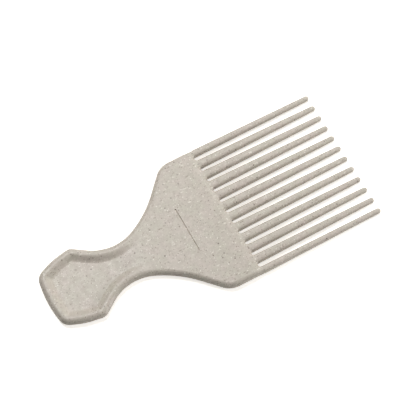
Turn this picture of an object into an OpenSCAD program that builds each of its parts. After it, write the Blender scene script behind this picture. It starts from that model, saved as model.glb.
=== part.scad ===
// Wide-tooth afro pick, moulded in one shot from straw-filled plastic.
// Lengths are in millimetres. The pick lies on its flat back: +X runs from the
// grip to the tooth tips, +Y across the teeth and +Z up from the back.
// The origin is on the back, half way along and on the centre line.

/* [Plate] */
// Thickness of the plate at the rim of the grip and over the web
plate_t = 5; // [3.5:0.1:7]
// How far the rounded outer edge reaches into the plate
edge_r = 2.5; // [1.5:0.1:3]
// Length of the plate, from the end of the grip to the root line of the teeth
plate_len = 97.2; // [92:0.2:120]

/* [Grip] */
// Length of the grip, from its end to where the neck begins
grip_len = 32; // [28:0.5:36]
// Width across the two corners at the end of the grip
grip_end_w = 27.8; // [24:0.2:31]
// Width across the two wide corners of the grip
grip_w = 39.4; // [35:0.2:44]
// Radius of the slightly bowed end of the grip
grip_end_r = 60; // [40:1:80]
// Radius of the corners at the end of the grip
end_corner_r = 6; // [3:0.5:8]
// Radius of the wide corners of the grip
wide_corner_r = 5; // [2:0.5:8]
// How far each long side of the grip bows out
side_bow = 1.2; // [0.6:0.1:1.6]
// Radius at the middle of each bowed side
side_r = 37; // [20:1:40]

/* [Dish in the grip] */
// Depth of the dished floor below the rim
dish_depth = 1.9; // [0.6:0.1:2.6]
// Width of the flat crest of the rim, between its rounded edge and the slope
crest_w = 0.3; // [0.1:0.1:1.5]
// Width of the slope from the rim's crest down to the floor
slope_w = 4.1; // [2:0.1:4.8]

/* [Neck] */
// Distance from the end of the grip to the narrowest place
neck_x = 41.8; // [39:0.2:46]
// Width at the narrowest place
neck_w = 21; // [17:0.5:24]
// Radius of the waist on each side
neck_r = 23.3; // [16:0.1:26]
// Length of the neck, over which the dished floor rises to the web
neck_len = 22; // [16:0.5:26]

/* [Web] */
// Radius of the flare from the neck towards the shoulders
flare_r = 57.5; // [40:0.5:62]
// Radius of the two shoulders
shoulder_r = 10.8; // [5:0.2:16]
// Length of the bevel that leads down to the teeth
bevel_len = 4.4; // [2:0.2:7]
// Distance from the root line back to the plain line across the web
line_back = 21.5; // [12:0.1:26]
// Length of the plain line across the web
line_len = 24.5; // [10:0.5:30]
// Width of the plain line
line_w = 0.7; // [0.3:0.1:1]
// Depth of the plain line
line_depth = 0.6; // [0.2:0.1:0.8]

/* [Teeth] */
// Number of teeth
tooth_count = 12; // [10:1:14]
// Distance from the centre line of one tooth to the next
tooth_pitch = 6.35; // [5.8:0.05:7]
// Free length of a tooth, from the root line to its tip
tooth_len = 66.8; // [40:0.2:90]
// Width of an inner tooth at its root
root_w = 4.4; // [3.4:0.1:5]
// Width of the two outer teeth at the root
outer_root_w = 3.6; // [3.2:0.1:5]
// Thickness of every tooth at its root
root_t = 4.1; // [3:0.1:5]
// Width of every tooth where its tip starts to round off
tip_w = 2.6; // [1.6:0.1:3.2]
// Thickness of every tooth where its tip starts to round off
tip_t = 2.3; // [1.4:0.1:3]
// Length of the rounded tip
tip_len = 1.6; // [0.8:0.1:3]

/* [Hidden] */
// Angles of the straight stretches of the outline to the centre line, in degrees
waist_in_angle = 35;
waist_out_angle = 25;
flare_angle = 46.8;
// How much of the end's half width each of its corners takes up, as a share of the
// corner's radius, so that the bowed end stops just short of the corner
end_corner_share = 0.75;
// Smallest radius left where an inner line of the rim meets another in a mitre
mitre_r = 0.4;
// Overrun of cutting shapes past the surfaces that they cut
over = 2;

// Steps in the rounded edge, in the slope of the dish, round a tooth, along
// its rounded tip and round the end of a gap
edge_steps = 8;
slope_steps = 6;
ring_steps = 24;
tip_steps = 5;
gap_steps = 48;
// Steps along the grip behind its wide corners, along the neck and along the web
grip_steps = 2;
neck_steps = 12;
web_steps = 24;
// Fullness of a tooth's section: 2 is an ellipse and more is squarer
tooth_fullness = 3;
// Width and height left at the very end of a tooth, as a share of its section
tip_end_share = 0.3;

straw_colour = [0.78, 0.755, 0.71];

overall_len = plate_len + tooth_len;
neck_end_x = grip_len + neck_len;
bevel_x = plate_len - bevel_len;
gap_r = (tooth_pitch - root_w) / 2;
tooth_x = plate_len + gap_r;
half_w = ((tooth_count - 1) * tooth_pitch + outer_root_w) / 2;
rim_w = edge_r + crest_w;

// Names and places of the teeth, counted from the right of someone at the grip

function tooth_name(i) = str("tooth_", i < 10 ? "0" : "", i);
function tooth_y(i) = (i - 1) * tooth_pitch - (tooth_count - 1) * tooth_pitch / 2;
function tooth_root_w(i) = i == 1 || i == tooth_count ? outer_root_w : root_w;

// Plane geometry. The outline is followed from the end of the grip along the
// +Y side, so that the plate lies to the right of every stretch.

function unit(v) = v / norm(v);
function right_of(v) = [v[1], -v[0]];
function heading(v) = atan2(v[1], v[0]);
function mix(a, b, share) = a + (b - a) * share;
function smooth_step(share) =
    let (s = min(max(share, 0), 1))
    s * s * (3 - 2 * s);

// Corners of the outline of one side, before they are rounded

end_lean = asin((grip_end_w / 2 - end_corner_share * end_corner_r) / grip_end_r);
apex = [-grip_end_r * (1 / cos(end_lean) - 1), 0];
end_corner = [apex[0] + tan(end_lean) * grip_end_w / 2, grip_end_w / 2];

waist_half_turn = (waist_in_angle + waist_out_angle) / 2;
waist_middle = (waist_out_angle - waist_in_angle) / 2;
waist_corner = [neck_x, neck_w / 2 + neck_r]
    + neck_r / cos(waist_half_turn) * [sin(waist_middle), -cos(waist_middle)];

wide_corner = [
    waist_corner[0] - (grip_w / 2 - waist_corner[1]) / tan(waist_in_angle),
    grip_w / 2
];
side_corner = (end_corner + wide_corner) / 2
    - side_bow * right_of(unit(wide_corner - end_corner));

// The waist and the flare run into each other with no straight between them
flare_half_turn = (flare_angle - waist_out_angle) / 2;
waist_to_flare = neck_r * tan(waist_half_turn) + flare_r * tan(flare_half_turn);
flare_corner = waist_corner
    + waist_to_flare * [cos(waist_out_angle), sin(waist_out_angle)];
shoulder_corner = [
    flare_corner[0] + (half_w - flare_corner[1]) / tan(flare_angle),
    half_w
];
bar_corner = [tooth_x, half_w];

corners = [
    apex, end_corner, side_corner, wide_corner,
    waist_corner, flare_corner, shoulder_corner, bar_corner
];
corner_radii = [
    grip_end_r, end_corner_r, side_r, wide_corner_r,
    neck_r, flare_r, shoulder_r
];
// Place of the wide corner in those lists
wide_index = 3;
// Steps in the arc at each corner
corner_steps = [6, 7, 3, 7, 12, 8, 8];

// Inward normals of the straight stretches before and after corner i

function normal_after(i) = right_of(unit(corners[i + 1] - corners[i]));
function normal_before(i) =
    i == 0 ? [normal_after(0)[0], -normal_after(0)[1]] : normal_after(i - 1);

// 1 at a corner that points outwards and -1 in a hollow
function corner_side(i) = heading(normal_after(i)) < heading(normal_before(i)) ? 1 : -1;

// The radius wanted there, and how much it takes up of the straight on each side,
// on the line that runs inset inside the outline
function wanted_r(i, inset) = max(corner_radii[i] - corner_side(i) * inset, mitre_r);
function turned(i) = i < len(corner_radii) ? tan(acos(normal_before(i) * normal_after(i)) / 2) : 0;
function taken(i, inset) = i < len(corner_radii) ? wanted_r(i, inset) * turned(i) : 0;

// Share of the wanted radii that the straight after corner i has room for
function room_share(i, inset) =
    let (
        ends = corner_side(i) * turned(i)
            + (i + 1 < len(corner_radii) ? corner_side(i + 1) * turned(i + 1) : 0),
        straight = norm(corners[i + 1] - corners[i]) - inset * ends
    )
    min(1, straight / (taken(i, inset) + taken(i + 1, inset)));

// Points of the arc at corner i on the line that runs inset inside the outline
function corner_arc(i, inset) =
    let (
        n1 = normal_before(i),
        n2 = normal_after(i),
        side = corner_side(i),
        room = min(room_share(max(i - 1, 0), inset), room_share(i, inset)),
        r = room * wanted_r(i, inset),
        middle = corners[i] + (inset + side * r) * (n1 + n2) / (1 + n1 * n2),
        first = i == 0 ? 0.5 : 0
    )
    [
        for (k = [first * corner_steps[i] : corner_steps[i]])
            let (a = mix(heading(n1), heading(n2), k / corner_steps[i]))
            middle - side * r * [cos(a), sin(a)]
    ];

// One side of the line that runs inset inside the outline, end of grip first
function side_line(inset) = concat(
    [for (i = [0 : len(corner_radii) - 1]) each corner_arc(i, inset)],
    [bar_corner - [0, inset]]
);

// Lines of the plate's surface: each is a share of the way round the edge or
// down the slope of the dish, and the line that it follows inside the outline

edge_shares = [for (k = [0 : edge_steps]) k / edge_steps];
slope_shares = [for (k = [0 : slope_steps]) k / slope_steps];
edge_lines = [
    for (share = edge_shares)
        side_line(edge_r * (1 - cos(mix(-90, 90, share))))
];
slope_lines = [for (share = slope_shares) side_line(rim_w + slope_w * share)];
foot_line = slope_lines[slope_steps];

// Heights of those lines, where the plate is t thick and the dish is so deep
function edge_heights(t) = [
    for (share = edge_shares) t / 2 * (1 + sin(mix(-90, 90, share)))
];
function slope_heights(t, depth) = [
    for (share = slope_shares) t - depth * smooth_step(share)
];

// Depth of the dish along the neck, where it runs out
function dish_at(x) = dish_depth * (1 - smooth_step((x - grip_len) / neck_len));

// Section of the whole plate at a place along the pick: up one side and down
// the other, through the given lines at the given heights
function section(x, lines, heights) =
    let (
        side = [
            for (k = [0 : len(lines) - 1])
                [x, lookup(x, lines[k]), heights[k]]
        ]
    )
    concat(side, [for (k = [len(side) - 1 : -1 : 0]) mirrored(side[k])]);

function mirrored(p) = [p[0], -p[1], p[2]];

// A closed solid through sections that all have as many points
module loft(sections) {
    n = len(sections[0]);
    last = len(sections) - 1;
    polyhedron(
        points = [for (section = sections) each section],
        faces = concat(
            [[for (k = [0 : n - 1]) k]],
            [
                for (j = [0 : last - 1], k = [0 : n - 1])
                    let (a = j * n + k, b = j * n + (k + 1) % n)
                    each [[a, a + n, b + n], [a, b + n, b]]
            ],
            [[for (k = [n - 1 : -1 : 0]) last * n + k]]
        )
    );
}

// Moves what is drawn from the end of the grip to the origin
module placed() {
    translate([-overall_len / 2, 0, 0]) children();
}

// Grip: a raised rim round a dished floor

// Points of a line up to the end of its wide corner, and the places behind it
// where the line is drawn again, up to the neck
round_end = [for (i = [0 : wide_index]) each corner_arc(i, 0)];
wide_end_x = round_end[len(round_end) - 1][0];
grip_places = [for (k = [1 : grip_steps]) mix(wide_end_x, grip_len, k / grip_steps)];

// The part of a line that lies in the grip, on one side
function grip_line(line) = concat(
    [for (k = [0 : len(round_end) - 1]) line[k]],
    [for (x = grip_places) [x, lookup(x, line)]]
);

module grip_rim() {
    lines = [for (line = concat([foot_line], edge_lines, slope_lines)) grip_line(line)];
    heights = concat([0], edge_heights(plate_t), slope_heights(plate_t, dish_depth));
    last = len(lines[0]) - 1;
    side = [
        for (j = [0 : last])
            [for (k = [0 : len(lines) - 1]) [lines[k][j][0], lines[k][j][1], heights[k]]]
    ];
    color(straw_colour) placed()
        loft(concat(
            [for (j = [last : -1 : 1]) [for (p = side[j]) mirrored(p)]],
            side
        ));
}

module grip_floor() {
    side = grip_line(foot_line);
    color(straw_colour) placed()
        linear_extrude(plate_t - dish_depth)
            polygon(concat(side, [for (k = [len(side) - 1 : -1 : 1]) [side[k][0], -side[k][1]]]));
}

// Neck: the waist, where the dish runs out

module neck() {
    color(straw_colour) placed()
        loft([
            for (k = [0 : neck_steps])
                let (x = mix(grip_len, neck_end_x, k / neck_steps))
                section(
                    x,
                    concat(edge_lines, slope_lines),
                    concat(edge_heights(plate_t), slope_heights(plate_t, dish_at(x)))
                )
        ]);
}

// Web: the flat palm of the pick, with a plain line across its top

module web() {
    color(straw_colour) placed()
        difference() {
            loft([
                for (k = [0 : web_steps])
                    section(
                        mix(neck_end_x, bevel_x, k / web_steps),
                        edge_lines,
                        edge_heights(plate_t)
                    )
            ]);
            translate([plate_len - line_back - line_w / 2, -line_len / 2, plate_t - line_depth])
                cube([line_w, line_len, line_depth + over]);
        }
}

// Root bar: the bevel that carries the teeth, and the round ends of their gaps

module root_bar() {
    color(straw_colour) placed()
        difference() {
            loft([
                section(bevel_x, edge_lines, edge_heights(plate_t)),
                section(plate_len, edge_lines, edge_heights(root_t)),
                section(tooth_x, edge_lines, edge_heights(root_t))
            ]);
            for (i = [1 : tooth_count - 1]) {
                low = tooth_y(i) + tooth_root_w(i) / 2;
                high = tooth_y(i + 1) - tooth_root_w(i + 1) / 2;
                translate([tooth_x, (low + high) / 2, -over])
                    cylinder(h = plate_t + 2 * over, r = (high - low) / 2, $fn = gap_steps);
            }
        }
}

// Teeth: each tapers in width and thickness from its flat back to a round tip

function full(c) = sign(c) * pow(abs(c), 2 / tooth_fullness);

// Section of tooth i at a distance from the root line, shrunk to a share
function tooth_ring(i, along, share) =
    let (
        taper = min((along - gap_r) / (tooth_len - tip_len - gap_r), 1),
        w = mix(tooth_root_w(i), tip_w, taper),
        t = mix(root_t, tip_t, taper)
    )
    [
        for (k = [0 : ring_steps - 1])
            let (a = 360 * k / ring_steps)
            [
                plate_len + along,
                tooth_y(i) + share * w / 2 * full(cos(a)),
                t / 2 * (1 + share * full(sin(a)))
            ]
    ];

module tooth(i) {
    end_angle = acos(tip_end_share);
    color(straw_colour) placed()
        loft(concat(
            [tooth_ring(i, gap_r, 1)],
            [
                for (k = [0 : tip_steps])
                    let (a = end_angle * k / tip_steps)
                    tooth_ring(i, tooth_len - tip_len * (1 - sin(a) / sin(end_angle)), cos(a))
            ]
        ));
}

grip_rim();
grip_floor();
neck();
web();
root_bar();
for (i = [1 : tooth_count])
    tooth(i);
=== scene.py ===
"""Wide-tooth afro pick of straw-filled plastic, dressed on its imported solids.

The pick lies on its flat back: +X runs from the grip to the tooth tips, +Y
across the teeth and +Z up. Lengths are in metres, written as millimetres
times MM. The plate and the teeth are modelled here in full, and every place
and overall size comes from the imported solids.
"""

import logging
import math
from dataclasses import dataclass, field
from enum import Enum
from typing import Callable, Iterable

import bmesh
import bpy
from mathutils import Matrix, Vector


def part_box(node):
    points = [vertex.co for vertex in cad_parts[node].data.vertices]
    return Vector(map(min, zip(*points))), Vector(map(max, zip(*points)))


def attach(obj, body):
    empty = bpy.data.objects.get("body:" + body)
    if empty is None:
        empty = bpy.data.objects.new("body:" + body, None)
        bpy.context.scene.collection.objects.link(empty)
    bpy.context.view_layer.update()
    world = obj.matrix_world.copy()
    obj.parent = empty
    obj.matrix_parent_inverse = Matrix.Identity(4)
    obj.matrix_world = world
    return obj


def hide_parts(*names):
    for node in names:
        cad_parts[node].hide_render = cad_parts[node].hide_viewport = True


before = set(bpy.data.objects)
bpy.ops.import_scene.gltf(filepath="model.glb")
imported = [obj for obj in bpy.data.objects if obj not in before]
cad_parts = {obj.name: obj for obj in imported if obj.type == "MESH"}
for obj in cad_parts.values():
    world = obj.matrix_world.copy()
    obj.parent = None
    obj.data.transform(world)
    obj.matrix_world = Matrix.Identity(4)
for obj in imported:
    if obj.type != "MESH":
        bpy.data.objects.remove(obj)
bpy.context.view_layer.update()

MM = 0.001
SLOT = "straw_plastic"
BODY = "root"
# A face points a given way where its normal has more than this share in that way
FACING = 0.5
# How much the large faces count for the shading beside them, of at most 100
LARGE_FACE_WEIGHT = 100
# Place of the flare among the corners of the plan
FLARE = 5

log = logging.getLogger("pick")


class Select(Enum):
    """What the edit-mode selection picks."""

    VERTS = "VERT"
    EDGES = "EDGE"
    FACES = "FACE"


# Working at the bench: small helpers round the edit-mode operators


def deselect_all() -> None:
    """Leaves nothing selected in object mode."""
    for thing in bpy.context.selected_objects:
        thing.select_set(False)


def take(piece: bpy.types.Object) -> None:
    """Makes a piece the active one and the only one selected.

    Args:
        piece: The piece to work on.
    """
    deselect_all()
    piece.select_set(True)
    bpy.context.view_layer.objects.active = piece


def open_piece(piece: bpy.types.Object) -> None:
    """Takes a piece and opens it in edit mode."""
    take(piece)
    bpy.ops.object.mode_set(mode="EDIT")


def close_piece() -> None:
    """Goes back to object mode."""
    bpy.ops.object.mode_set(mode="OBJECT")


def pick(piece: bpy.types.Object, kind: Select, wanted: Callable[..., bool]) -> None:
    """Selects the vertices, edges or faces of an open piece that pass a test.

    Args:
        piece: The piece in edit mode.
        kind: Which kind of element to select.
        wanted: Says of one element whether it is selected.
    """
    bpy.ops.mesh.select_mode(type=kind.value)
    bpy.ops.mesh.select_all(action="DESELECT")
    mesh = bmesh.from_edit_mesh(piece.data)
    elements = {Select.VERTS: mesh.verts, Select.EDGES: mesh.edges, Select.FACES: mesh.faces}
    for element in elements[kind]:
        if not element.hide and wanted(element):
            element.select_set(True)
    mesh.select_flush_mode()
    bmesh.update_edit_mesh(piece.data)


def shift(x: float = 0, y: float = 0, z: float = 0) -> None:
    """Moves what is selected."""
    bpy.ops.transform.translate(value=(x, y, z))


def scale_about(centre: Vector, x: float = 1, y: float = 1, z: float = 1) -> None:
    """Scales what is selected about a point."""
    bpy.ops.transform.resize(value=(x, y, z), center_override=centre)


def smooth_step(share: float) -> float:
    """Eases from 0 to 1 as a share does."""
    share = min(max(share, 0), 1)
    return share * share * (3 - 2 * share)


def settle(piece: bpy.types.Object) -> None:
    """Puts a piece's place and size into its mesh, so that its object sits at the origin."""
    take(piece)
    bpy.ops.object.transform_apply(location=True, rotation=True, scale=True)


def apply_modifier(piece: bpy.types.Object, kind: str, **settings: object) -> None:
    """Adds a modifier with these settings and applies it.

    Args:
        piece: The piece that gets the modifier.
        kind: The modifier's type, such as MIRROR.
        **settings: Its settings by name.
    """
    take(piece)
    modifier = piece.modifiers.new(kind.title(), kind)
    for name, value in settings.items():
        setattr(modifier, name, value)
    bpy.ops.object.modifier_apply(modifier=modifier.name)


def smooth(piece: bpy.types.Object, angle: float) -> None:
    """Shades a piece smooth, but for its sharp edges, with flat faces left flat.

    Args:
        piece: The finished piece.
        angle: Edges sharper than this stay sharp.
    """
    take(piece)
    bpy.ops.object.shade_smooth_by_angle(angle=angle)
    apply_modifier(
        piece, "WEIGHTED_NORMAL", mode="FACE_AREA", weight=LARGE_FACE_WEIGHT, keep_sharp=True
    )


# Plan of the plate


@dataclass(frozen=True)
class Arc:
    """A round stretch of an outline, drawn from its start round its middle."""

    start: Vector
    middle: Vector
    turn: float
    steps: int


@dataclass(frozen=True)
class Corner:
    """A corner of the plan that an arc rounds off."""

    place: Vector
    radius: float
    steps: int


@dataclass
class Plan:
    """Outline of the plate, seen from above, on the +Y side of the centre line.

    Lengths that start at the end of the grip run along +X. The plan follows
    the solids: its lengths are theirs, and its corners are rounded alike.
    """

    grip_end_w: float = 27.8 * MM
    grip_w: float = 39.4 * MM
    grip_end_r: float = 60 * MM
    end_corner_r: float = 6 * MM
    end_corner_share: float = 0.75
    wide_corner_r: float = 5 * MM
    side_bow: float = 1.2 * MM
    side_r: float = 37 * MM
    neck_x: float = 41.8 * MM
    neck_w: float = 21 * MM
    neck_r: float = 23.3 * MM
    flare_r: float = 57.5 * MM
    shoulder_r: float = 10.8 * MM
    waist_in: float = math.radians(35)
    waist_out: float = math.radians(25)
    flare: float = math.radians(46.8)
    steps: tuple[int, ...] = (6, 10, 6, 10, 24, 16, 14)

    @property
    def end_lean(self) -> float:
        """Half the turn of the bowed end."""
        half = self.grip_end_w / 2 - self.end_corner_share * self.end_corner_r
        return math.asin(half / self.grip_end_r)

    @property
    def radii(self) -> tuple[float, ...]:
        """Radii of the corners, from the end of the grip to the shoulder."""
        return (
            self.grip_end_r,
            self.end_corner_r,
            self.side_r,
            self.wide_corner_r,
            self.neck_r,
            self.flare_r,
            self.shoulder_r,
        )

    def corners(self, half_w: float) -> list[Corner]:
        """Corners of the +Y side from the end of the grip to the shoulder.

        Args:
            half_w: Half the width across the shoulders.

        Returns:
            The corners in order, measured from the end of the grip.
        """
        apex = Vector((-self.grip_end_r * (1 / math.cos(self.end_lean) - 1), 0))
        end = apex + Vector((math.tan(self.end_lean), 1)) * (self.grip_end_w / 2)

        half_turn = (self.waist_in + self.waist_out) / 2
        middle = (self.waist_out - self.waist_in) / 2
        waist = Vector((self.neck_x, self.neck_w / 2 + self.neck_r)) + (
            Vector((math.sin(middle), -math.cos(middle))) * self.neck_r / math.cos(half_turn)
        )
        wide = Vector(
            (waist.x - (self.grip_w / 2 - waist.y) / math.tan(self.waist_in), self.grip_w / 2)
        )
        along = (wide - end).normalized()
        side = (end + wide) / 2 - self.side_bow * Vector((along.y, -along.x))

        reach = self.neck_r * math.tan(half_turn) + self.flare_r * math.tan(
            (self.flare - self.waist_out) / 2
        )
        flare = waist + reach * Vector((math.cos(self.waist_out), math.sin(self.waist_out)))
        shoulder = Vector((flare.x + (half_w - flare.y) / math.tan(self.flare), half_w))

        places = (apex, end, side, wide, waist, flare, shoulder)
        return [Corner(*values) for values in zip(places, self.radii, self.steps)]

    def arcs(self, half_w: float) -> list[Arc]:
        """Arcs that round the corners, the bowed end's from the centre line on.

        Args:
            half_w: Half the width across the shoulders.

        Returns:
            The arcs in order. A turn is positive towards +Y's left.
        """
        corners = self.corners(half_w)
        mirrored_end = Vector((corners[1].place.x, -corners[1].place.y))
        after_last = corners[-1].place + Vector((half_w, 0))
        places = [mirrored_end, *(c.place for c in corners), after_last]
        arcs: list[Arc] = []
        for before, corner, after in zip(places, corners, places[2:]):
            way_in = (corner.place - before).normalized()
            way_out = (after - corner.place).normalized()
            turn = math.atan2(way_in.cross(way_out), way_in.dot(way_out))
            reach = corner.radius * math.tan(abs(turn) / 2)
            left = Vector((-way_in.y, way_in.x))
            start = corner.place - way_in * reach
            middle = start + left * math.copysign(corner.radius, turn)
            arcs.append(Arc(start, middle, turn, corner.steps))
        first = arcs[0]
        crest = Vector((first.middle.x - corners[0].radius, 0))
        arcs[0] = Arc(crest, first.middle, first.turn / 2, first.steps // 2)
        return arcs


# Places read from the solids


@dataclass
class Solids:
    """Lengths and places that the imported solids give."""

    boxes: dict[str, tuple[Vector, Vector]] = field(
        default_factory=lambda: {name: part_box(name) for name in sorted(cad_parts)}
    )

    @property
    def teeth(self) -> list[str]:
        """Names of the teeth, from -Y to +Y."""
        return [name for name in self.boxes if name.startswith("tooth_")]

    def low(self, node: str) -> Vector:
        """Lowest corner of a node."""
        return self.boxes[node][0]

    def high(self, node: str) -> Vector:
        """Highest corner of a node."""
        return self.boxes[node][1]

    @property
    def end_x(self) -> float:
        """End of the grip."""
        return self.low("grip_rim").x

    @property
    def neck_x(self) -> float:
        """Where the neck begins."""
        return self.low("neck").x

    @property
    def web_x(self) -> float:
        """Where the neck runs into the web."""
        return self.low("web").x

    @property
    def bevel_x(self) -> float:
        """Where the bevel to the roots begins."""
        return self.low("root_bar").x

    @property
    def tooth_x(self) -> float:
        """Middle of the round gap ends, where the teeth begin."""
        return self.high("root_bar").x

    @property
    def plate_t(self) -> float:
        """Thickness of the plate."""
        return self.high("web").z

    @property
    def floor_t(self) -> float:
        """Thickness of the dished floor."""
        return self.high("grip_floor").z

    @property
    def half_w(self) -> float:
        """Half the width across the teeth."""
        return self.high(self.teeth[-1]).y

    @property
    def root_t(self) -> float:
        """Thickness of a tooth at its root."""
        return self.high(self.teeth[0]).z

    @property
    def tip_x(self) -> float:
        """Where the teeth end."""
        return self.high(self.teeth[0]).x

    def tooth_y(self, name: str) -> float:
        """Place of a tooth's centre line."""
        return (self.low(name).y + self.high(name).y) / 2

    def tooth_w(self, name: str) -> float:
        """Width of a tooth at its root."""
        return self.high(name).y - self.low(name).y

    @property
    def gaps(self) -> list[tuple[float, float]]:
        """Sides of the gaps between the teeth, each as its low and its high Y."""
        return [
            (self.high(one).y, self.low(other).y)
            for one, other in zip(self.teeth, self.teeth[1:])
        ]

    @property
    def root_x(self) -> float:
        """Root line, where the gaps between the inner teeth end."""
        low, high = self.gaps[1]
        return self.tooth_x - (high - low) / 2


# Finish


Colour = tuple[float, float, float]


@dataclass(frozen=True)
class Speck:
    """One kind of speck or short fibre in the plastic.

    The share is that of the cells which hold such a speck, and the strength
    is how well the strongest of them covers. A fibre is a speck that is
    stretched along X and turned. The specks of a kind have radii between two
    shares of the given one, and each covers best inside a share of its own.
    """

    colour: Colour
    spacing: float
    radius: float
    share: float
    strength: float
    stretch: float = 1
    turn: float = 0
    radius_shares: tuple[float, float] = (0.6, 1.4)
    core_share: float = 0.4


class Graph:
    """The nodes of one material, laid out in object coordinates."""

    def __init__(self, name: str) -> None:
        """Starts a material with its shader.

        Args:
            name: Name of the material.
        """
        self.material = bpy.data.materials.new(name)
        self.material.use_nodes = True
        self.nodes = self.material.node_tree.nodes
        self.links = self.material.node_tree.links
        self.shader = self.nodes["Principled BSDF"]
        self.place = self.nodes.new("ShaderNodeTexCoord").outputs["Object"]

    def feed(
        self, socket: bpy.types.NodeSocket, value: "bpy.types.NodeSocket | float | Colour"
    ) -> None:
        """Gives an input its value.

        Args:
            socket: The input.
            value: A number, a colour or another node's output.
        """
        if isinstance(value, bpy.types.NodeSocket):
            self.links.new(value, socket)
        elif isinstance(value, tuple):
            socket.default_value = (*value, 1)
        else:
            socket.default_value = value

    def noise(self, size: float, detail: float) -> bpy.types.NodeSocket:
        """Adds a noise.

        Args:
            size: About how large its features are.
            detail: How many finer layers it has.

        Returns:
            The noise, from 0 to 1.
        """
        node = self.nodes.new("ShaderNodeTexNoise")
        self.feed(node.inputs["Scale"], 1 / size)
        self.feed(node.inputs["Detail"], detail)
        self.feed(node.inputs["Vector"], self.place)
        return node.outputs["Fac"]

    def ramp(
        self,
        value: bpy.types.NodeSocket,
        low: "bpy.types.NodeSocket | float",
        high: "bpy.types.NodeSocket | float",
        to: tuple[float, float] = (0, 1),
    ) -> bpy.types.NodeSocket:
        """Maps one range onto another, and stays within that.

        Args:
            value: What is mapped.
            low: Start of its range.
            high: End of its range.
            to: Start and end of the new range.

        Returns:
            The mapped value.
        """
        node = self.nodes.new("ShaderNodeMapRange")
        self.feed(node.inputs["Value"], value)
        self.feed(node.inputs["From Min"], low)
        self.feed(node.inputs["From Max"], high)
        self.feed(node.inputs["To Min"], to[0])
        self.feed(node.inputs["To Max"], to[1])
        return node.outputs["Result"]

    def times(
        self, one: bpy.types.NodeSocket, other: "bpy.types.NodeSocket | float"
    ) -> bpy.types.NodeSocket:
        """Multiplies two values.

        Args:
            one: The first value.
            other: The second value.

        Returns:
            Their product.
        """
        node = self.nodes.new("ShaderNodeMath")
        node.operation = "MULTIPLY"
        self.feed(node.inputs[0], one)
        self.feed(node.inputs[1], other)
        return node.outputs["Value"]

    def mix(
        self, share: bpy.types.NodeSocket, under: "bpy.types.NodeSocket | Colour", over: Colour
    ) -> bpy.types.NodeSocket:
        """Lays one colour over another.

        Args:
            share: How much of the upper colour covers each point.
            under: The lower colour.
            over: The upper colour.

        Returns:
            The mixed colour.
        """
        node = self.nodes.new("ShaderNodeMix")
        node.data_type = "RGBA"
        colours = [socket for socket in node.inputs if socket.type == "RGBA"]
        self.feed(node.inputs["Factor"], share)
        self.feed(colours[0], under)
        self.feed(colours[1], over)
        return [socket for socket in node.outputs if socket.type == "RGBA"][0]

    def specks(self, speck: Speck) -> bpy.types.NodeSocket:
        """Strews one kind of speck.

        Args:
            speck: The kind.

        Returns:
            How much of a speck covers each point, from 0 to 1.
        """
        turned = self.nodes.new("ShaderNodeMapping")
        self.feed(turned.inputs["Vector"], self.place)
        turned.inputs["Rotation"].default_value = (0, 0, speck.turn)
        turned.inputs["Scale"].default_value = (1 / speck.stretch, 1, 1)
        cells = self.nodes.new("ShaderNodeTexVoronoi")
        self.feed(cells.inputs["Vector"], turned.outputs["Vector"])
        self.feed(cells.inputs["Scale"], 1 / speck.spacing)
        split = self.nodes.new("ShaderNodeSeparateColor")
        self.feed(split.inputs["Color"], cells.outputs["Color"])
        reach = speck.radius / speck.spacing
        least, most = (reach * share for share in speck.radius_shares)
        edge = self.ramp(split.outputs["Green"], 0, 1, (least, most))
        core = self.times(edge, speck.core_share)
        inside = self.ramp(cells.outputs["Distance"], edge, core)
        chosen = self.ramp(split.outputs["Red"], 1 - speck.share, 1, (0, speck.strength))
        return self.times(inside, chosen)


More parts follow.
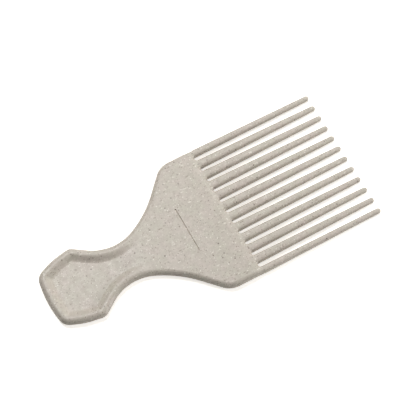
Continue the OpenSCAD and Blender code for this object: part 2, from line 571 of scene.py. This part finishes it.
@dataclass(frozen=True)
class StrawPlastic:
    """Pale beige-grey plastic with ground straw in it, moulded matt to satin.

    It has soft clouds of two tints, mottling in a darker shade, specks and a
    fine grain in its surface.
    """

    name: str = SLOT
    tints: tuple[Colour, Colour] = ((0.612, 0.542, 0.478), (0.575, 0.543, 0.452))
    shade: Colour = (0.46, 0.412, 0.355)
    cloud_size: float = 6 * MM
    cloud_range: tuple[float, float] = (0.35, 0.65)
    mottle_sizes: tuple[float, float] = (2.4 * MM, 0.75 * MM)
    mottle_range: tuple[float, float] = (0.35, 0.7)
    mottle_detail: float = 3
    mottle_share: float = 0.55
    satin_range: tuple[float, float] = (0.25, 0.75)
    roughness: tuple[float, float] = (0.39, 0.49)
    grain_size: float = 0.35 * MM
    grain_depth: float = 0.03 * MM
    grain_strength: float = 0.3
    soft_detail: float = 2
    specks: tuple[Speck, ...] = (
        Speck(
            colour=(0.82, 0.78, 0.70),
            spacing=0.9 * MM,
            radius=0.36 * MM,
            share=0.45,
            strength=0.9,
        ),
        Speck(
            colour=(0.80, 0.76, 0.67),
            spacing=1.3 * MM,
            radius=0.34 * MM,
            share=0.35,
            strength=0.9,
            stretch=3,
            turn=math.radians(35),
        ),
        Speck(
            colour=(0.27, 0.21, 0.16),
            spacing=0.8 * MM,
            radius=0.34 * MM,
            share=0.50,
            strength=0.85,
        ),
        Speck(
            colour=(0.24, 0.19, 0.14),
            spacing=1.3 * MM,
            radius=0.30 * MM,
            share=0.35,
            strength=0.85,
            stretch=3,
            turn=math.radians(-50),
        ),
        Speck(
            colour=(0.10, 0.07, 0.05),
            spacing=1.7 * MM,
            radius=0.42 * MM,
            share=0.30,
            strength=0.95,
        ),
    )

    def make(self) -> bpy.types.Material:
        """Builds the material.

        Returns:
            The material, whose pattern is in object coordinates.
        """
        graph = Graph(self.name)
        clouds = graph.noise(self.cloud_size, self.soft_detail)
        colour = graph.mix(graph.ramp(clouds, *self.cloud_range), *self.tints)
        for size in self.mottle_sizes:
            mottle = graph.noise(size, self.mottle_detail)
            cover = graph.ramp(mottle, *self.mottle_range, (0, self.mottle_share))
            colour = graph.mix(cover, colour, self.shade)
        for speck in self.specks:
            colour = graph.mix(graph.specks(speck), colour, speck.colour)
        graph.feed(graph.shader.inputs["Base Color"], colour)

        satin = graph.noise(self.mottle_sizes[0], self.soft_detail)
        roughness = graph.ramp(satin, *self.satin_range, self.roughness)
        graph.feed(graph.shader.inputs["Roughness"], roughness)

        bump = graph.nodes.new("ShaderNodeBump")
        graph.feed(bump.inputs["Strength"], self.grain_strength)
        graph.feed(bump.inputs["Distance"], self.grain_depth)
        graph.feed(bump.inputs["Height"], graph.noise(self.grain_size, self.soft_detail))
        graph.feed(graph.shader.inputs["Normal"], bump.outputs["Normal"])
        return graph.material


# The plate: grip, neck, web and root bar in one


@dataclass
class Plate:
    """Flat plate of the pick, with a dished grip, a plain line and a bevel at the roots.

    It ends in short stubs, on which the teeth go on. A weld is the distance
    within which points count as one, and a hair is a little more than that.
    """

    solids: Solids
    plan: Plan
    edge_r: float = 2.5 * MM
    edge_steps: int = 8
    edge_profile: float = 0.5
    crest_w: float = 0.3 * MM
    slope_w: float = 4.1 * MM
    slope_steps: int = 8
    neck_steps: int = 12
    tooth_edge: float = 1.75 * MM
    tooth_edge_steps: int = 6
    tooth_profile: float = 0.58
    gap_steps: int = 24
    stub_len: float = 0.4 * MM
    line_back: float = 21.5 * MM
    line_len: float = 24.5 * MM
    line_w: float = 0.7 * MM
    line_depth: float = 0.6 * MM
    line_wall_share: float = 0.2
    mitre_r: float = 0.5 * MM
    mitre_play: float = 0.15 * MM
    weld: float = 0.001 * MM
    hair: float = 0.01 * MM
    crease_angle: float = math.radians(40)

    def draw_arc(self, piece: bpy.types.Object, arc: Arc) -> None:
        """Draws a straight to an arc's start, and then the arc.

        Args:
            piece: The open outline, with its last point selected.
            arc: The arc.
        """
        self.draw_to(piece, arc.start)
        bpy.ops.mesh.spin(
            steps=arc.steps,
            angle=-arc.turn,
            center=(arc.middle.x, arc.middle.y, 0),
            axis=(0, 0, 1),
        )

    def draw_to(self, piece: bpy.types.Object, place: Vector) -> None:
        """Draws a straight from the selected point to a place, if it isn't there yet.

        Args:
            piece: The open outline, with its last point selected.
            place: Where the straight ends.
        """
        mesh = bmesh.from_edit_mesh(piece.data)
        here = next(v.co for v in mesh.verts if v.select)
        step = Vector((place.x - here.x, place.y - here.y, 0))
        if step.length > self.weld:
            bpy.ops.mesh.extrude_region_move(TRANSFORM_OT_translate={"value": step})

    def draw_outline(self) -> bpy.types.Object:
        """Draws half the outline from one point, mirrors it and fills it.

        Returns:
            The flat plan as a piece with one face.
        """
        solids = self.solids
        start = Vector((solids.end_x, 0))
        arcs = [
            Arc(arc.start + start, arc.middle + start, arc.turn, arc.steps)
            for arc in self.plan.arcs(solids.half_w)
        ]
        deselect_all()
        bpy.ops.mesh.primitive_plane_add(size=self.edge_r, location=(start.x, 0, 0))
        piece = bpy.context.object
        piece.name = "plate"
        settle(piece)
        open_piece(piece)
        bpy.ops.mesh.select_all(action="SELECT")
        bpy.ops.mesh.merge(type="CENTER")
        for arc in arcs:
            self.draw_arc(piece, arc)

        self.draw_to(piece, Vector((self.stub_x, solids.half_w)))
        self.draw_gap_ends(piece)
        close_piece()
        apply_modifier(
            piece, "MIRROR", use_axis=(False, True, False), merge_threshold=self.weld
        )
        open_piece(piece)
        bpy.ops.mesh.select_all(action="SELECT")
        bpy.ops.mesh.edge_face_add()
        return piece

    def draw_gap_ends(self, piece: bpy.types.Object) -> None:
        """Draws the stubs and the round gap ends of the +Y side, from the side inwards.

        The gap on the centre line is drawn half way round, and its mirror
        image is the rest of it.

        Args:
            piece: The open outline, with its last point selected.
        """
        tooth_x = self.solids.tooth_x
        gaps_of_half = [gap for gap in self.solids.gaps if gap[1] > self.weld]
        for low, high in reversed(gaps_of_half):
            start, middle = Vector((tooth_x, high)), Vector((tooth_x, (low + high) / 2))
            whole = low > -self.weld
            share = 1 if whole else 0.5
            steps = int(self.gap_steps * share)
            self.draw_to(piece, Vector((self.stub_x, high)))
            self.draw_arc(piece, Arc(start, middle, math.pi * share, steps))
            if whole:
                self.draw_to(piece, Vector((self.stub_x, low)))

    def thicken(self) -> None:
        """Gives the open flat plan its thickness, with every face pointing outwards."""
        bpy.ops.mesh.extrude_region_move(
            TRANSFORM_OT_translate={"value": (0, 0, self.solids.plate_t)}
        )
        bpy.ops.mesh.select_all(action="SELECT")
        bpy.ops.mesh.normals_make_consistent(inside=False)

    def on_rim(self, edge: bmesh.types.BMEdge) -> bool:
        """Whether an edge is where the top or the back meets a wall."""
        return sum(abs(face.normal.z) > FACING for face in edge.link_faces) == 1 and all(
            min(v.co.z, self.solids.plate_t - v.co.z) < self.weld for v in edge.verts
        )

    def in_gaps(self, edge: bmesh.types.BMEdge) -> bool:
        """Whether an edge runs round the end of a gap or lies across a stub's end."""
        return all(
            v.co.x > self.gap_x and abs(v.co.y) < self.solids.half_w - self.hair
            for v in edge.verts
        )

    def across_stub(self, edge: bmesh.types.BMEdge) -> bool:
        """Whether an edge lies across the end of a stub, where a tooth goes on."""
        return all(v.co.x > self.stub_x - self.weld for v in edge.verts)

    @property
    def stub_x(self) -> float:
        """Where the plate's stubs end and the teeth go on."""
        return self.solids.tooth_x + self.stub_len

    @property
    def gap_x(self) -> float:
        """Just before the end of the widest gap."""
        widest = max(high - low for low, high in self.solids.gaps)
        return self.solids.tooth_x - widest / 2 - self.hair

    def round_edges(self, piece: bpy.types.Object) -> None:
        """Rounds the outer edge fully, narrows it at the teeth and rounds the gap ends.

        Args:
            piece: The open plate.
        """
        pick(
            piece,
            Select.EDGES,
            lambda e: self.on_rim(e) and not self.across_stub(e) and not self.in_gaps(e),
        )
        bpy.ops.mesh.bevel(
            offset_type="OFFSET",
            offset=self.edge_r - self.weld,
            segments=self.edge_steps,
            profile=self.edge_profile,
            affect="EDGES",
            clamp_overlap=False,
        )
        bpy.ops.mesh.select_all(action="SELECT")
        bpy.ops.mesh.remove_doubles(threshold=self.hair)

        half_w = self.solids.half_w
        for side in (1, -1):
            pick(
                piece,
                Select.VERTS,
                lambda v: v.co.x > self.stub_x - self.weld
                and v.co.y * side > half_w - self.edge_r - self.hair,
            )
            scale_about(Vector((0, side * half_w, 0)), y=self.tooth_edge / self.edge_r)

        pick(
            piece,
            Select.EDGES,
            lambda e: self.on_rim(e) and not self.across_stub(e) and self.in_gaps(e),
        )
        bpy.ops.mesh.bevel(
            offset_type="OFFSET",
            offset=self.tooth_edge,
            segments=self.tooth_edge_steps,
            profile=self.tooth_profile,
            affect="EDGES",
            clamp_overlap=False,
        )

    def cut_across(self, x: float) -> None:
        """Cuts what is selected with a plane across the pick."""
        bpy.ops.mesh.bisect(plane_co=(x, 0, 0), plane_no=(1, 0, 0), threshold=self.weld)

    def on_top(self, face: bmesh.types.BMFace) -> bool:
        """Whether a face is a piece of the flat top."""
        return face.normal.z > FACING and self.at_height(face, self.solids.plate_t)

    def at_height(self, face: bmesh.types.BMFace, z: float) -> bool:
        """Whether a face lies flat at a height."""
        return all(abs(v.co.z - z) < self.weld for v in face.verts)

    def before(self, face: bmesh.types.BMFace, x: float) -> bool:
        """Whether a face lies wholly between the end of the grip and a place."""
        return all(v.co.x < x + self.weld for v in face.verts)

    def sink_dish(self, piece: bpy.types.Object) -> None:
        """Sinks the dish into the grip, with a slope that runs out along the neck.

        Args:
            piece: The open plate.
        """
        arcs = self.plan.arcs(self.solids.half_w)
        self.mark_out_dish(piece, arcs[FLARE])
        self.draw_slope(piece, arcs)
        self.run_out(piece)
        pick(piece, Select.EDGES, lambda e: e.is_boundary)
        bpy.ops.mesh.edge_face_add()

    def mark_out_dish(self, piece: bpy.types.Object, flare: Arc) -> None:
        """Leaves only the top of the grip and neck in sight, cut at the neck's steps.

        Args:
            piece: The open plate, which loses the rest of its top.
            flare: The arc of the flare, on which the dish ends.
        """
        place, way = self.dish_end(flare)
        planes = [
            (Vector((place.x, side * place.y, 0)), Vector((way.x, side * way.y, 0)))
            for side in (1, -1)
        ]
        for co, no in planes:
            pick(piece, Select.FACES, self.on_top)
            bpy.ops.mesh.bisect(plane_co=co, plane_no=no, threshold=self.weld)
        pick(
            piece,
            Select.FACES,
            lambda f: self.on_top(f)
            and any((v.co - co).dot(no) > self.hair for v in f.verts for co, no in planes),
        )
        bpy.ops.mesh.delete(type="FACE")
        neck_x, web_x = self.solids.neck_x, self.solids.web_x
        for k in range(self.neck_steps):
            pick(piece, Select.FACES, self.on_top)
            self.cut_across(neck_x + (web_x - neck_x) * k / self.neck_steps)
        pick(piece, Select.FACES, self.on_top)
        bpy.ops.mesh.hide(unselected=True)

    def draw_slope(self, piece: bpy.types.Object, arcs: list[Arc]) -> None:
        """Insets the top to the rim's crest, and then down the slope to the floor.

        Args:
            piece: The open plate, with only the dish's part of the top in sight.
            arcs: The arcs of the plan, measured from the end of the grip.
        """
        top = self.solids.plate_t
        start = Vector((self.solids.end_x, 0))
        bpy.ops.mesh.select_all(action="SELECT")
        bpy.ops.mesh.inset(thickness=self.crest_w, use_boundary=False)
        inset = self.edge_r + self.crest_w
        sunk = 0.0
        mitred: set[int] = set()
        for k in range(1, self.slope_steps + 1):
            bpy.ops.mesh.inset(thickness=self.slope_w / self.slope_steps, use_boundary=False)
            inset += self.slope_w / self.slope_steps
            down = (top - self.solids.floor_t) * smooth_step(k / self.slope_steps)
            shift(z=sunk - down)
            sunk = down
            for i, (arc, radius) in enumerate(zip(arcs, self.plan.radii)):
                left = radius - inset
                if arc.turn < 0 and left < self.mitre_r and i not in mitred:
                    mitred.add(i)
                    for side in (1, -1):
                        self.mitre(piece, arc.middle + start, side, left, top - down)
            pick(
                piece,
                Select.FACES,
                lambda f: f.normal.z > FACING and self.at_height(f, top - down),
            )

    def run_out(self, piece: bpy.types.Object) -> None:
        """Makes the dish shallower along the neck, until it is level with the web.

        Args:
            piece: The open plate, with only the dish in sight. Then all is in sight.
        """
        neck_x, web_x = self.solids.neck_x, self.solids.web_x
        for x in self.stations(piece, neck_x, math.inf):
            share = 1 - smooth_step((x - neck_x) / (web_x - neck_x))
            self.pick_station(piece, x)
            scale_about(Vector((0, 0, self.solids.plate_t)), z=share)
        bpy.ops.mesh.reveal(select=False)

    def stations(self, piece: bpy.types.Object, low: float, high: float) -> list[float]:
        """Lists the places along the pick at which the open plate has vertices in sight.

        Args:
            piece: The open plate.
            low: Only places past this one are listed.
            high: Only places before this one are listed.

        Returns:
            The places, no two of them within a weld of each other.
        """
        places: list[float] = []
        for x in sorted(v.co.x for v in bmesh.from_edit_mesh(piece.data).verts if not v.hide):
            if low < x < high and (not places or x - places[-1] > self.weld):
                places.append(x)
        return places

    def pick_station(self, piece: bpy.types.Object, x: float) -> None:
        """Selects the vertices at one of those places."""
        pick(piece, Select.VERTS, lambda v: x <= v.co.x <= x + self.weld)

    def dish_end(self, flare: Arc) -> tuple[Vector, Vector]:
        """Finds a point of the flare just past the neck.

        Args:
            flare: The arc of the flare, measured from the end of the grip.

        Returns:
            The point, and the way in which the outline runs there.
        """
        middle = flare.middle + Vector((self.solids.end_x, 0))
        for k in range(flare.steps):
            spoke = flare.start - flare.middle
            spoke.rotate(Matrix.Rotation(flare.turn * k / flare.steps, 2))
            if middle.x + spoke.x > self.solids.web_x:
                break
        return middle + spoke, Vector((-spoke.y, spoke.x)).normalized()

    def mitre(
        self, piece: bpy.types.Object, middle: Vector, side: int, left: float, z: float
    ) -> None:
        """Draws the rounding of an inner corner together into a mitre.

        Args:
            piece: The open plate.
            middle: Middle of the corner's arc on the +Y side.
            side: 1 for that corner and -1 for its mirror image.
            left: Radius that is left of it.
            z: Height of the line that it lies on.
        """
        reach = abs(left) + self.mitre_play
        pick(
            piece,
            Select.VERTS,
            lambda v: math.hypot(v.co.x - middle.x, v.co.y - side * middle.y) < reach
            and abs(v.co.z - z) < self.weld,
        )
        bpy.ops.mesh.merge(type="CENTER")

    def cut_line(self, piece: bpy.types.Object) -> None:
        """Cuts the plain line into the top of the web.

        Args:
            piece: The open plate.
        """
        line_x = self.solids.root_x - self.line_back
        half_w, half_len = self.line_w / 2, self.line_len / 2

        def in_line(face: bmesh.types.BMFace, reach: float) -> bool:
            """Whether a face of the top lies in the line's strip, so far to each side."""
            return self.on_top(face) and all(
                abs(v.co.x - line_x) < half_w + self.hair and abs(v.co.y) < reach
                for v in face.verts
            )

        for x in (line_x - half_w, line_x + half_w):
            pick(
                piece,
                Select.FACES,
                lambda f: self.on_top(f) and not self.before(f, self.solids.web_x),
            )
            self.cut_across(x)
        for y in (-half_len, half_len):
            pick(piece, Select.FACES, lambda f: in_line(f, self.solids.half_w))
            bpy.ops.mesh.bisect(plane_co=(0, y, 0), plane_no=(0, 1, 0), threshold=self.weld)
        pick(piece, Select.FACES, lambda f: in_line(f, half_len + self.hair))
        bpy.ops.mesh.inset(
            thickness=self.line_w * self.line_wall_share, depth=-self.line_depth
        )

    def thin_roots(self, piece: bpy.types.Object) -> None:
        """Slopes the top down to the roots, in a bevel from the web to the root line.

        Args:
            piece: The open plate.
        """
        solids = self.solids
        for x in (solids.bevel_x, solids.root_x):
            bpy.ops.mesh.select_mode(type="FACE")
            bpy.ops.mesh.select_all(action="SELECT")
            self.cut_across(x)
        thin = solids.root_t / solids.plate_t
        pick(piece, Select.VERTS, lambda v: v.co.x > solids.root_x - self.weld)
        scale_about(Vector(), z=thin)
        for x in self.stations(piece, solids.bevel_x, solids.root_x - self.weld):
            share = (x - solids.bevel_x) / (solids.root_x - solids.bevel_x)
            self.pick_station(piece, x)
            scale_about(Vector(), z=1 + (thin - 1) * share)

    def build(self) -> bpy.types.Object:
        """Models the plate.

        Returns:
            The finished plate.
        """
        piece = self.draw_outline()
        self.thicken()
        self.round_edges(piece)
        self.sink_dish(piece)
        self.cut_line(piece)
        self.thin_roots(piece)
        close_piece()
        smooth(piece, self.crease_angle)
        return piece


# The teeth


@dataclass
class Tooth:
    """One tapered tooth with a flat back, rounded edges and a round tip."""

    solids: Solids
    plate: Plate
    name: str
    tip_w: float = 2.6 * MM
    tip_t: float = 2.3 * MM
    tip_len: float = 1.6 * MM
    tip_steps: int = 6
    tip_end_share: float = 0.3

    def build(self) -> bpy.types.Object:
        """Models the tooth from the plate's stub to its tip.

        Returns:
            The finished tooth.
        """
        solids, plate = self.solids, self.plate
        y, width = solids.tooth_y(self.name), solids.tooth_w(self.name)
        start, top = plate.stub_x, solids.plate_t
        end = solids.tip_x - self.tip_len
        deselect_all()
        bpy.ops.mesh.primitive_cube_add(
            size=1, location=((start + end) / 2, y, top / 2), scale=(end - start, width, top)
        )
        piece = bpy.context.object
        piece.name = self.name + "_moulded"
        settle(piece)
        open_piece(piece)
        pick(piece, Select.EDGES, lambda e: abs(e.verts[0].co.x - e.verts[1].co.x) > self.tip_len)
        bpy.ops.mesh.bevel(
            offset_type="OFFSET",
            offset=plate.tooth_edge,
            segments=plate.tooth_edge_steps,
            profile=plate.tooth_profile,
            affect="EDGES",
            clamp_overlap=False,
        )
        bpy.ops.mesh.select_all(action="SELECT")
        scale_about(Vector((0, y, 0)), z=solids.root_t / top)
        pick(piece, Select.FACES, lambda f: f.normal.x > FACING)
        scale_about(
            Vector((end, y, 0)), y=self.tip_w / width, z=self.tip_t / solids.root_t
        )
        self.round_tip(y)
        close_piece()
        smooth(piece, plate.crease_angle)
        return piece

    def round_tip(self, y: float) -> None:
        """Draws the selected end out into a round tip.

        Args:
            y: Place of the tooth's centre line.
        """
        end_angle = math.acos(self.tip_end_share)
        out, share = 0.0, 1.0
        for k in range(1, self.tip_steps + 1):
            angle = end_angle * k / self.tip_steps
            reach = self.tip_len * math.sin(angle) / math.sin(end_angle)
            bpy.ops.mesh.extrude_region_move(
                TRANSFORM_OT_translate={"value": (reach - out, 0, 0)}
            )
            shrink = math.cos(angle) / share
            scale_about(Vector((0, y, self.tip_t / 2)), y=shrink, z=shrink)
            out, share = reach, math.cos(angle)

    def copy_to(self, piece: bpy.types.Object, name: str) -> bpy.types.Object:
        """Copies the finished tooth to another place.

        Args:
            piece: The finished tooth.
            name: Node whose place the copy takes.

        Returns:
            The copy, with a mesh of its own.
        """
        take(piece)
        bpy.ops.object.duplicate(linked=False)
        copy = bpy.context.object
        copy.name = name + "_moulded"
        copy.location.y = self.solids.tooth_y(name) - self.solids.tooth_y(self.name)
        settle(copy)
        return copy


# Studio


@dataclass(frozen=True)
class Softbox:
    """A soft round lamp that faces the pick from a direction, with its power in watts."""

    name: str
    azimuth: float
    elevation: float
    size: float
    power: float


@dataclass
class Studio:
    """Floor, soft lamps and the camera at the photograph's place.

    An azimuth is 0 towards -Y and 90 degrees towards +X. The lens and the
    sensor are in camera millimetres.
    """

    azimuth: float = math.radians(-28.88)
    elevation: float = math.radians(67.04)
    distance: float = 792.2 * MM
    aim: Vector = field(default_factory=lambda: Vector((8.84, 4.61, 2.5)) * MM)
    lens: float = 139.3
    sensor: float = 36.0
    near: float = 10 * MM
    far: float = 10000 * MM
    lamp_distance: float = 900 * MM
    floor_size: float = 1500 * MM
    floor_gap: float = 0.05 * MM
    floor_colour: Colour = (0.94, 0.92, 0.89)
    floor_tint: Colour = (1.0, 0.975, 0.935)
    floor_white: float = 0.72
    lamps: tuple[Softbox, ...] = (
        Softbox("key", math.radians(195), math.radians(66), size=350 * MM, power=4.8),
        Softbox("side", math.radians(138), math.radians(38), size=400 * MM, power=3.2),
        Softbox("fill", math.radians(55), math.radians(15), size=400 * MM, power=3.8),
    )

    def direction(self, azimuth: float, elevation: float) -> Vector:
        """Direction out of the pick towards a lamp or the camera."""
        return Vector(
            (
                math.sin(azimuth) * math.cos(elevation),
                -math.cos(azimuth) * math.cos(elevation),
                math.sin(elevation),
            )
        )

    def add(
        self, name: str, data: "bpy.types.Light | bpy.types.Camera", back: Vector, distance: float
    ) -> bpy.types.Object:
        """Adds a lamp or camera that looks at the pick from a direction.

        Args:
            name: Name of its object.
            data: The lamp or camera.
            back: Direction from the pick towards it.
            distance: How far away it stands.

        Returns:
            Its object.
        """
        thing = bpy.data.objects.new(name, data)
        bpy.context.scene.collection.objects.link(thing)
        thing.location = self.aim + back * distance
        thing.rotation_euler = back.to_track_quat("Z", "Y").to_euler()
        return thing

    def place_camera(self) -> None:
        """Sets the camera at the photograph's angle."""
        data = bpy.data.cameras.new("camera")
        data.lens, data.sensor_width = self.lens, self.sensor
        data.clip_start, data.clip_end = self.near, self.far
        back = self.direction(self.azimuth, self.elevation)
        bpy.context.scene.camera = self.add("camera", data, back, self.distance)

    def place_lamps(self) -> None:
        """Sets the soft lamps round the pick."""
        for lamp in self.lamps:
            data = bpy.data.lights.new(lamp.name, "AREA")
            data.shape, data.size, data.energy = "DISK", lamp.size, lamp.power
            back = self.direction(lamp.azimuth, lamp.elevation)
            self.add(lamp.name, data, back, self.lamp_distance)

    def where_seen(self, tree: bpy.types.NodeTree, strength: float) -> bpy.types.NodeSocket:
        """A strength that only the camera and reflections see.

        Args:
            tree: The nodes of the floor's or the world's material.
            strength: The strength there.

        Returns:
            That strength, and nothing for the rays that carry the light.
        """
        path = tree.nodes.new("ShaderNodeLightPath")
        seen = path.outputs["Is Camera Ray"]
        for name in ("Is Glossy Ray", "Is Transmission Ray"):
            either = tree.nodes.new("ShaderNodeMath")
            either.operation = "MAXIMUM"
            tree.links.new(seen, either.inputs[0])
            tree.links.new(path.outputs[name], either.inputs[1])
            seen = either.outputs["Value"]
        part = tree.nodes.new("ShaderNodeMath")
        part.operation = "MULTIPLY"
        tree.links.new(seen, part.inputs[0])
        part.inputs[1].default_value = strength
        return part.outputs["Value"]

    def light_world(self) -> None:
        """Makes a world that gives no light and looks white."""
        world = bpy.data.worlds.new("studio")
        bpy.context.scene.world = world
        world.use_nodes = True
        tree = world.node_tree
        white = tree.nodes["Background"]
        white.inputs["Color"].default_value = (1, 1, 1, 1)
        tree.links.new(self.where_seen(tree, 1), white.inputs["Strength"])

    def lay_floor(self) -> None:
        """Lays the plain pale floor, which looks white and keeps a faint shadow."""
        deselect_all()
        bpy.ops.mesh.primitive_plane_add(
            size=self.floor_size, location=(0, 0, -self.floor_gap)
        )
        floor = bpy.context.object
        floor.name = "floor"
        settle(floor)
        material = bpy.data.materials.new("floor")
        material.use_nodes = True
        tree = material.node_tree
        shader = tree.nodes["Principled BSDF"]
        shader.inputs["Base Color"].default_value = (*self.floor_colour, 1)
        shader.inputs["Roughness"].default_value = 1
        shader.inputs["Specular IOR Level"].default_value = 0
        shader.inputs["Emission Color"].default_value = (*self.floor_tint, 1)
        tree.links.new(
            self.where_seen(tree, self.floor_white), shader.inputs["Emission Strength"]
        )
        floor.data.materials.append(material)

    def build(self) -> None:
        """Sets up the whole studio."""
        self.lay_floor()
        self.light_world()
        self.place_lamps()
        self.place_camera()
        bpy.context.scene.view_settings.view_transform = "Standard"


def finish_piece(
    piece: bpy.types.Object, material: bpy.types.Material, nodes: Iterable[str]
) -> None:
    """Dresses a piece and hides the nodes that it replaces.

    Args:
        piece: The finished piece.
        material: What it is made of.
        nodes: Names of the nodes that it replaces.
    """
    piece.data.materials.clear()
    piece.data.materials.append(material)
    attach(piece, BODY)
    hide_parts(*nodes)
    log.info("%s: %d faces", piece.name, len(piece.data.polygons))


def main() -> None:
    """Builds the pick and its studio in order."""
    logging.basicConfig(level=logging.INFO, format="%(name)s: %(message)s")
    solids = Solids()
    plastic = StrawPlastic().make()
    plate = Plate(solids, Plan())
    finish_piece(
        plate.build(), plastic, ("grip_rim", "grip_floor", "neck", "web", "root_bar")
    )
    first, second, *inner, last = solids.teeth
    for name, alike in ((first, [last]), (second, inner)):
        model = Tooth(solids, plate, name)
        piece = model.build()
        finish_piece(piece, plastic, [name])
        for other in alike:
            finish_piece(model.copy_to(piece, other), plastic, [other])
    Studio().build()


if __name__ == "__main__":
    main()
